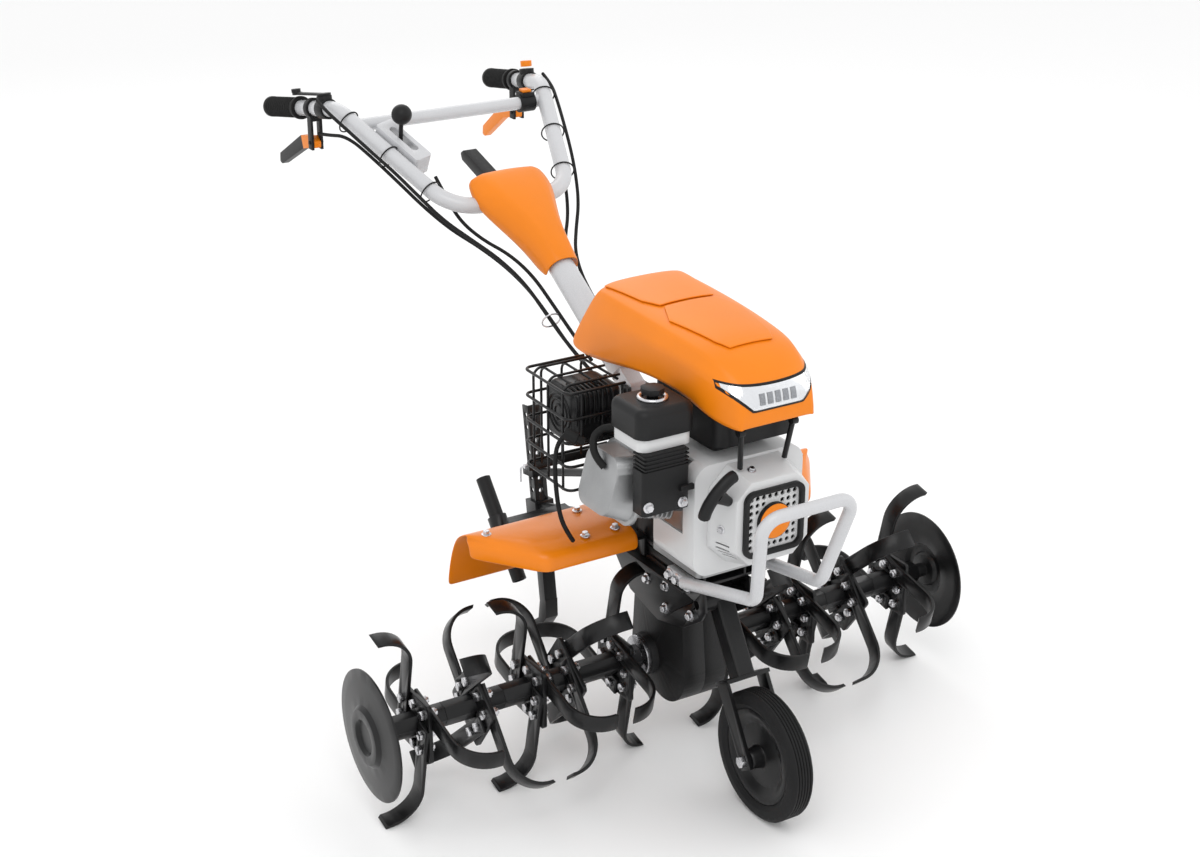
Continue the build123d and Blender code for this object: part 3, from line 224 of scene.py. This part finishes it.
def turned(name, at, direction, outline, sides=32):
    """A turned piece: outline lists (distance along direction, radius), in millimetres."""
    lay = Vector(direction).to_track_quat("Z", "Y").to_matrix()
    points, faces = [], []
    for distance, radius in outline:
        for step in range(sides):
            angle = 2 * math.pi * step / sides
            spot = Vector((radius * math.cos(angle), radius * math.sin(angle), distance))
            points.append(Vector(at) + lay @ spot)
    for ring in range(len(outline) - 1):
        for step in range(sides):
            after = (step + 1) % sides
            near, far = ring * sides, (ring + 1) * sides
            faces.append((near + step, near + after, far + after, far + step))
    faces.append(tuple(reversed(range(sides))))
    last = (len(outline) - 1) * sides
    faces.append(tuple(range(last, last + sides)))
    piece = mesh_piece(name, points, faces)
    piece.data.set_sharp_from_angle(angle=math.radians(32))
    return piece


def bolt(name, at, direction, size, body):
    """A flanged hexagon bolt head with a washer and a domed top."""
    rim = ((0, size * 1.45), (size * 0.22, size * 1.45), (size * 0.3, size * 1.3))
    washer = turned(name + "_washer", at, direction, rim, 24)
    top = Vector(at) + Vector(direction).normalized() * size * 0.28
    outline = ((0, size), (size * 0.85, size), (size * 1.0, size * 0.86))
    head = turned(name, top, direction, outline, 6)
    for piece in (washer, head):
        place(piece, body, "zinc_steel")


def ring(name, at, direction, radius, wire, body, slot):
    """A closed ring of round wire."""
    bpy.ops.mesh.primitive_torus_add(
        major_radius=radius * MM, minor_radius=wire * MM, major_segments=40, minor_segments=10
    )
    piece = bpy.context.object
    piece.name = name
    lay = Vector(direction).to_track_quat("Z", "Y").to_matrix().to_4x4()
    piece.data.transform(Matrix.Translation(Vector(at) * MM) @ lay)
    piece.data.shade_smooth()
    return place(piece, body, slot)


def both(values):
    """A half profile from the edge to the centre line, and back down the other side."""
    return [(-x, y, z) for x, y, z in values] + [(x, y, z) for x, y, z in reversed(values[:-1])]


# ------------------------------------------------------------------ bonnet
# Each station: y, then half profile points (x, z) from the lower edge to the middle.
BONNET = (
    (-250, (94, 640), (93, 664), (88, 702), (78, 732), (62, 741), (0, 744)),
    (-335, (90, 656), (90, 676), (88, 706), (76, 730), (58, 738), (0, 741)),
    (-400, (87, 659), (88, 678), (86, 705), (74, 726), (55, 734), (0, 737)),
    (-450, (84, 657), (86, 674), (83, 702), (71, 722), (52, 730), (0, 733)),
    (-490, (80, 645), (83, 664), (80, 699), (68, 717), (50, 724), (0, 727)),
    (-520, (75, 637), (77, 658), (73, 691), (61, 705), (44, 711), (0, 714)),
    (-545, (67, 633), (67, 652), (64, 675), (52, 687), (36, 692), (0, 694)),
    (-556, (62, 632), (61, 648), (58, 661), (47, 668), (32, 671), (0, 672)),
)
REAR = ((94, -156, 632), (92, -163, 655), (84, -190, 702), (75, -206, 734), (58, -209, 741), (0, -210, 743))


def make_bonnet():
    """The bonnet's shell, with its shoulder creases and a front wall down to the lip."""
    rows = [both(list(REAR))]
    for y, *profile in BONNET:
        rows.append(both([(x, y, z) for x, z in profile]))
    nose_y, *nose = BONNET[-1]
    for share in (0.5, 1.0):
        rows.append(both([(x * (1 - 0.08 * share), nose_y - 1.5, z + (632 - z) * share) for x, z in nose]))
    last = len(rows[0]) - 1
    sharp = [(0, 1.0), (last, 1.0), (2, 0.6), (last - 2, 0.6), (3, 0.55), (last - 3, 0.55)]
    piece = skin("bonnet_shell", rows, 2.6, 2, sharp)
    place(piece, "hood", "orange_plastic")
    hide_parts("hood")
    return piece


bonnet = make_bonnet()


def lay_on(piece, lift, axis):
    """Lays a patch against the bonnet along one axis, a little above its skin."""
    wrap = piece.modifiers.new("lay_on", "SHRINKWRAP")
    wrap.target = bonnet
    wrap.wrap_method = "PROJECT"
    wrap.use_project_x = axis == "x"
    wrap.use_project_y = axis == "y"
    wrap.use_project_z = axis == "z"
    wrap.use_positive_direction = axis == "y"
    wrap.use_negative_direction = axis != "y"
    wrap.offset = lift * MM
    return piece


def raised_panel(name, outline, steps=10):
    """A pressed panel on the bonnet's top; outline lists (y, half width)."""
    rows = []
    for (y0, w0), (y1, w1) in zip(outline[:-1], outline[1:]):
        for i in range(steps):
            y, w = y0 + (y1 - y0) * i / steps, w0 + (w1 - w0) * i / steps
            rows.append([(w * (k / 12 - 1), y, 840) for k in range(25)])
    rows.append([(outline[-1][1] * (k / 12 - 1), outline[-1][0], 840) for k in range(25)])
    piece = mesh_piece(name, [p for row in rows for p in row], grid_faces(len(rows), 25))
    lay_on(piece, 1.1, "z")
    rim = piece.modifiers.new("edge", "SOLIDIFY")
    rim.thickness = 2.2 * MM
    rim.offset = -1
    soft = piece.modifiers.new("soft_edge", "BEVEL")
    soft.width = 0.9 * MM
    soft.segments = 3
    soft.angle_limit = math.radians(50)
    return place(piece, "hood", "orange_plastic")


raised_panel("bonnet_rear_panel", ((-212, 67), (-300, 58), (-331, 46)))
raised_panel("bonnet_front_panel", ((-339, 44), (-379, 62), (-470, 46), (-492, 36)))


def lamp_patch(name, rim, lift, slot, material=None):
    """A patch laid on the bonnet's nose: wide in the middle, pointed at both tips."""
    rows = []
    steps, levels = 32, 8
    for i in range(steps + 1):
        x = (74 + rim) * (2 * i / steps - 1)
        away = abs(x) / (74 + rim)
        top = 688 + 5 * away**2 + rim
        low = 657 - rim + 30 * max(0.0, (away - 0.55) / 0.45)
        rows.append([(x, -640, low + (top - low) * k / levels) for k in range(levels + 1)])
    piece = mesh_piece(name, [p for row in rows for p in row], grid_faces(len(rows), levels + 1))
    lay_on(piece, lift, "y")
    return place(piece, "hood", slot, material)


headlight = lamp_patch("headlight_cover", 0, 2.6, "clear_lens")
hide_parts("headlight")
lamp_patch("headlight_gasket", 2.6, 0.7, "black_rubber", MATERIALS["black_plastic"])
lamp_patch("headlight_reflector", -0.6, 1.3, "clear_lens", REFLECTOR)
for count in range(5):
    across = -26 + count * 13
    rows = [[(across - 4.5 + i * 3, -640, 663 + k * 4) for k in range(5)] for i in range(4)]
    cell = mesh_piece(f"headlight_cell_{count}", [p for row in rows for p in row], grid_faces(4, 5))
    place(lay_on(cell, 1.9, "y"), "hood", "clear_lens", LAMP_CELL)


# ------------------------------------------------------------------ fenders
def fender(side):
    """One arched mud guard: a rear flap, a flat top and a rolled front lip."""
    rows = []
    for step in range(21):
        x = 81 + (314 - 81) * step / 20
        front = -334 + 102 * max(0.0, (x - 240) / 74)
        row = [(-157, 287), (-161, 308), (-168, 336), (-179, 363), (-194, 386), (-216, 397)]
        reach = front + 216
        row += [(-216 + reach * 0.35, 400.5), (-216 + reach * 0.7, 398.5)]
        row += [(front + 10, 391), (front + 3, 386), (front, 377), (front, 364)]
        rows.append([(side * x, y, z) for y, z in row])
    if side < 0:
        rows.reverse()
    return skin("fender_right" if side > 0 else "fender_left", rows, 2.6, 2, [(8, 0.35)])


fender_pieces = [place(fender(side), "frame", "orange_paint") for side in (-1, 1)]
for piece in fender_pieces:
    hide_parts("fenders")
FENDER_BOLTS = ((160, -310, 396), (108, -310, 396), (286, -236, 399), (130, -236, 400))
for side in (-1, 1):
    for count, (x, y, z) in enumerate(FENDER_BOLTS):
        bolt(f"fender_bolt_{'r' if side > 0 else 'l'}{count}", (side * x, y, z), (0, 0, 1), 5.2, "frame")

# ------------------------------------------------------------------ console cover
PIVOT = Vector((0, -190, 556))
RISE = math.radians(31.6)
UP_COLUMN = Vector((0, math.cos(RISE), math.sin(RISE)))
ABOVE = Vector((0, -math.sin(RISE), math.cos(RISE)))


def on_column(x, distance, height):
    """A point beside the column: across, up its length, and above its centre line."""
    return tuple(PIVOT + UP_COLUMN * distance + ABOVE * height + Vector((x, 0, 0)))


# Each station: distance up the column, then half profile points (x, height).
CONSOLE = (
    (252, (26, -18), (29, 0), (27, 13), (17, 25), (0, 28)),
    (300, (30, -20), (32, 0), (30, 15), (20, 28), (0, 31)),
    (345, (40, -22), (42, -4), (38, 14), (26, 27), (0, 31)),
    (390, (56, -23), (58, -6), (52, 12), (38, 24), (0, 29)),
    (430, (71, -20), (72, -8), (66, 7), (50, 19), (0, 25)),
    (462, (70, -12), (69, -4), (62, 5), (48, 13), (0, 18)),
    (472, (66, -9), (65, -3), (58, 3), (46, 9), (0, 13)),
    (473, (58, -9), (57, -4), (52, 0), (42, 4), (0, 7)),
)
rows = []
for distance, *profile in CONSOLE:
    half = [on_column(x, distance, height) for x, height in profile]
    rows.append([(-x, y, z) for x, y, z in half] + half[-2::-1])
CONSOLE_CREASES = [(0, 1.0), (1, 0.5), (3, 0.85), (5, 0.85), (7, 0.5), (8, 1.0)]
console = place(skin("console_shell", rows, 2.8, 2, CONSOLE_CREASES), "steering", "orange_plastic")
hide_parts("console_cover")

# ------------------------------------------------------------------ control cables
CABLES = {
    "clutch_cable": (
        (-205, 500, 834), (-203, 468, 838), (-190, 415, 846), (-170, 350, 816), (-152, 296, 786),
        (-134, 246, 756), (-112, 196, 728), (-84, 150, 706), (-62, 100, 682), (-48, 45, 654),
        (-42, -12, 620), (-38, -70, 586), (-32, -120, 566),
    ),
    "throttle_cable": (
        (-219, 466, 900), (-222, 430, 892), (-206, 386, 868), (-186, 334, 838), (-168, 284, 812),
        (-150, 238, 782), (-128, 192, 748), (-100, 150, 722), (-74, 104, 698), (-56, 50, 668),
        (-50, -8, 632), (-45, -66, 598), (-38, -118, 574),
    ),
    "shift_cable": (
        (-104, 262, 800), (-98, 236, 770), (-92, 200, 738), (-76, 154, 716), (-52, 108, 700),
        (-38, 56, 676), (-33, 0, 642), (-30, -56, 610), (-27, -108, 582),
    ),
    "reverse_cable": (
        (205, 528, 830), (206, 494, 838), (196, 440, 850), (176, 372, 824), (156, 308, 790),
        (138, 252, 756), (116, 206, 716), (86, 166, 690), (60, 118, 676), (46, 62, 656),
        (40, 6, 626), (36, -50, 594), (32, -102, 570),
    ),
    "stop_switch_wire": (
        (224, 479, 892), (222, 444, 880), (206, 396, 862), (188, 342, 834), (170, 290, 806),
        (152, 242, 774), (132, 198, 736), (104, 160, 704), (76, 116, 682), (56, 62, 660),
        (49, 4, 630), (43, -52, 600), (38, -104, 576),
    ),
}
for name, route in CABLES.items():
    cable = place(tube(name, route, 3.0, 12), "steering", "black_rubber")
    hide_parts("control_cables")

ARM_LOW, ARM_TOP = Vector((108, 192, 762)), Vector((196, 437, 888))
for side in (-1, 1):
    low = Vector((side * ARM_LOW.x, ARM_LOW.y, ARM_LOW.z))
    high = Vector((side * ARM_TOP.x, ARM_TOP.y, ARM_TOP.z))
    along = (high - low).normalized()
    for count, share in enumerate((0.2, 0.55, 0.9)):
        spot = low + (high - low) * share + Vector((0, 0, -5))
        hand = "r" if side > 0 else "l"
        ring(f"cable_tie_{hand}{count}", spot, along, 19.5, 1.3, "steering", "black_plastic")
ring("cable_clip", (-44, -12, 622), (0.1, 0.86, 0.5), 15, 1.5, "steering", "zinc_steel")

# ------------------------------------------------------------------ grips
GRIP_END = Vector((219, 663, 849.5))
CONTROL_X = 205
for side in (-1, 1):
    top = Vector((side * ARM_TOP.x, ARM_TOP.y, ARM_TOP.z))
    end = Vector((side * GRIP_END.x, GRIP_END.y, GRIP_END.z))
    along = (end - top).normalized()
    for count in range(13):
        spot = top + along * (146 + count * 6.6)
        hand = "r" if side > 0 else "l"
        ring(f"grip_rib_{hand}{count:02d}", spot, along, 16.2, 1.6, "steering", "black_rubber")

# The clutch lever's handle is dark beyond its orange hub
lever = NODES["clutch_lever"]
lever.data.materials.append(MATERIALS["black_plastic"])
hub = Vector((-CONTROL_X, 520, 816)) * MM
for polygon in lever.data.polygons:
    spot = lever.matrix_world @ polygon.center
    if (spot - hub).yz.length > 34 * MM:
        polygon.material_index = 1

# ------------------------------------------------------------------ engine detail
badge = turned("recoil_badge", (0, -562.9, 484), (0, -1, 0), ((0, 26), (0.8, 26), (1.2, 25)), 48)
place(badge, "frame", "orange_plastic")
backing = [(x, -551.5, 484 + z) for x in (-42, 42) for z in (-42, 42)]
dark = mesh_piece("grille_backing", backing, [(0, 1, 3, 2)])
place(dark, "frame", "black_plastic")
bolt("cover_bolt_upper", (-20, -530, 553), (0, -0.27, 0.96), 4.5, "frame")
bolt("cover_bolt_side", (-69, -530, 474), (-0.96, -0.27, 0), 4.5, "frame")
HANDLE = Vector((-92, -552, 540))
BAR = Vector((0.62, -0.1, 0.78))
OUTWARD = Vector((-0.72, -0.35, 0.55))
BOW = ((-35, -5), (-27, 3), (0, 8), (27, 3), (35, -5))
route = [HANDLE + BAR * reach + OUTWARD * bow for reach, bow in BOW]
handle = place(tube("starter_grip", route, 9), "recoil_handle", "black_plastic")
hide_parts("recoil_handle")
stem = turned("starter_stem", HANDLE, (22, 5, -16), ((-4, 11), (8, 10), (20, 8), (28, 7)), 24)
place(stem, "recoil_handle", "black_plastic")

for count, (x, z) in enumerate(((-178, 526), (-122, 522))):
    bolt(f"carburettor_bolt_{count}", (x, -510, z), (0, -1, 0), 5.5, "frame")
RIB_PLAN = ((-184.5, -510), (-111.5, -510), (-111.5, -479), (-184.5, -479))
for count in range(4):
    low = 580 + count * 6
    corners = [(x, y, z) for z in (low, low + 2.6) for x, y in RIB_PLAN]
    faces = [(0, 3, 2, 1), (4, 5, 6, 7), (0, 1, 5, 4), (1, 2, 6, 5), (2, 3, 7, 6), (3, 0, 4, 7)]
    rib = mesh_piece(f"carburettor_rib_{count}", corners, faces, smooth=False)
    rounding = rib.modifiers.new("rounding", "BEVEL")
    rounding.width = 0.8 * MM
    rounding.segments = 2
    place(rib, "frame", "black_plastic")

ring("filter_knob_ring", (-141, -460, 665.5), (0, 0, 1), 19, 3.2, "frame", "zinc_steel")

# Louvre ribs and the round pressing on the silencer
for count in range(9):
    x = -186 + count * 7.5
    rib = tube(
        f"muffler_rib_{count}",
        ((x, -331, 585), (x, -332, 615), (x, -330, 630), (x, -318, 634.5), (x, -290, 634.5)),
        1.6,
    )
    place(rib, "frame", "black_paint")
for count, radius in enumerate((30, 22, 12)):
    ring(f"muffler_pressing_{count}", (-190, -288, 592), (1, 0, 0), radius, 2.0, "frame", "black_paint")

# Ignition lead from the plug cap down past the head, and the breather hose
lead = (
    (-216, -353, 588), (-226, -346, 576), (-231, -345, 545), (-229, -345, 500), (-222, -344, 455),
    (-208, -342, 425), (-196, -336, 408),
)
place(tube("ignition_lead", lead, 3.4), "frame", "black_rubber")
hose = (
    (-172, -419, 611), (-180, -404, 610), (-196, -398, 600), (-206, -408, 586), (-206, -420, 572),
    (-200, -430, 562),
)
place(tube("breather_hose", hose, 5.5), "frame", "black_rubber")

# Bolts on the chassis cheeks and the bumper's feet
CHEEK_BOLTS = ((-270, 320), (-300, 290), (-352, 300), (-352, 262), (-410, 322), (-420, 280))
for side in (-1, 1):
    hand = "r" if side > 0 else "l"
    for count, (y, z) in enumerate(CHEEK_BOLTS):
        bolt(f"cheek_bolt_{hand}{count}", (side * 43, y, z), (side, 0, 0), 6, "frame")
    for count, y in enumerate((-428, -408)):
        bolt(f"bumper_bolt_{hand}{count}", (side * 72.5, y, 352), (side, 0, 0), 6.5, "frame")

# ------------------------------------------------------------------ floor, light, camera
bpy.ops.mesh.primitive_plane_add(size=60, location=(0, 0, -0.0005))
floor = bpy.context.object
floor.name = "floor"
paper = bpy.data.materials.new("pale_floor")
paper.use_nodes = True
paper.node_tree.nodes["Principled BSDF"].inputs["Base Color"].default_value = (0.93, 0.93, 0.93, 1)
paper.node_tree.nodes["Principled BSDF"].inputs["Roughness"].default_value = 0.9
floor.data.materials.append(paper)

world = bpy.data.worlds.new("studio")
bpy.context.scene.world = world
world.use_nodes = True
world.node_tree.nodes["Background"].inputs["Color"].default_value = (1, 1, 1, 1)
world.node_tree.nodes["Background"].inputs["Strength"].default_value = 1.02
bpy.context.scene.view_settings.view_transform = "Standard"


def soft_light(name, where, size, power):
    """A square studio light that looks at the machine."""
    light = bpy.data.lights.new(name, "AREA")
    light.size = size
    light.energy = power
    lamp = bpy.data.objects.new(name, light)
    lamp.location = where
    lamp.rotation_euler = (Vector((0, 0, 0.45)) - Vector(where)).to_track_quat("-Z", "Y").to_euler()
    bpy.context.scene.collection.objects.link(lamp)


soft_light("key", (-1.4, -2.2, 3.6), 2.2, 34)
soft_light("fill", (3.2, -1.8, 2.0), 2.4, 10)
soft_light("back", (0.8, 3.0, 2.8), 2.4, 18)

camera_data = bpy.data.cameras.new("camera")
camera_data.lens = 59.0
camera_data.sensor_width = 36
camera = bpy.data.objects.new("camera", camera_data)
camera.location = (-1.5024, -2.5659, 1.6704)
azimuth, elevation = math.radians(-31.2367), math.radians(22.7742)
outward = Vector((
    math.sin(azimuth) * math.cos(elevation),
    -math.cos(azimuth) * math.cos(elevation),
    math.sin(elevation),
))
camera.rotation_euler = (-outward).to_track_quat("-Z", "Y").to_euler()
bpy.context.scene.collection.objects.link(camera)
bpy.context.scene.camera = camera
